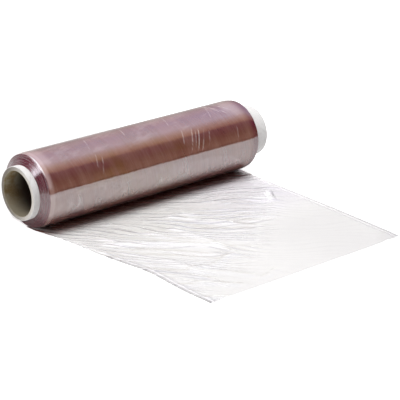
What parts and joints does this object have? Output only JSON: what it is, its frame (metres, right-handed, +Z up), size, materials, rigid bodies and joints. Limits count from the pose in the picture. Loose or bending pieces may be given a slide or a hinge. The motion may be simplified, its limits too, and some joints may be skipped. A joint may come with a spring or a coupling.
{
  "type": "stretch wrap roll",
  "caption": "Roll of clear stretch film on a paperboard core that stands out at both ends, with its loose wrinkled end drawn out flat from under the roll.",
  "frame": {"origin": "on the roll's axis, in the middle of the film's width", "axes": "+Y along the roll towards the end where the core stands out further, +X the way the loose end lies, +Z up"},
  "size_m": [0.326, 0.342, 0.0841],
  "materials": {
    "core_board": "matte",
    "film": "gloss"
  },
  "bodies": {
    "root": {"core_tube": "core_board", "film": "film"}
  },
  "joints": []
}
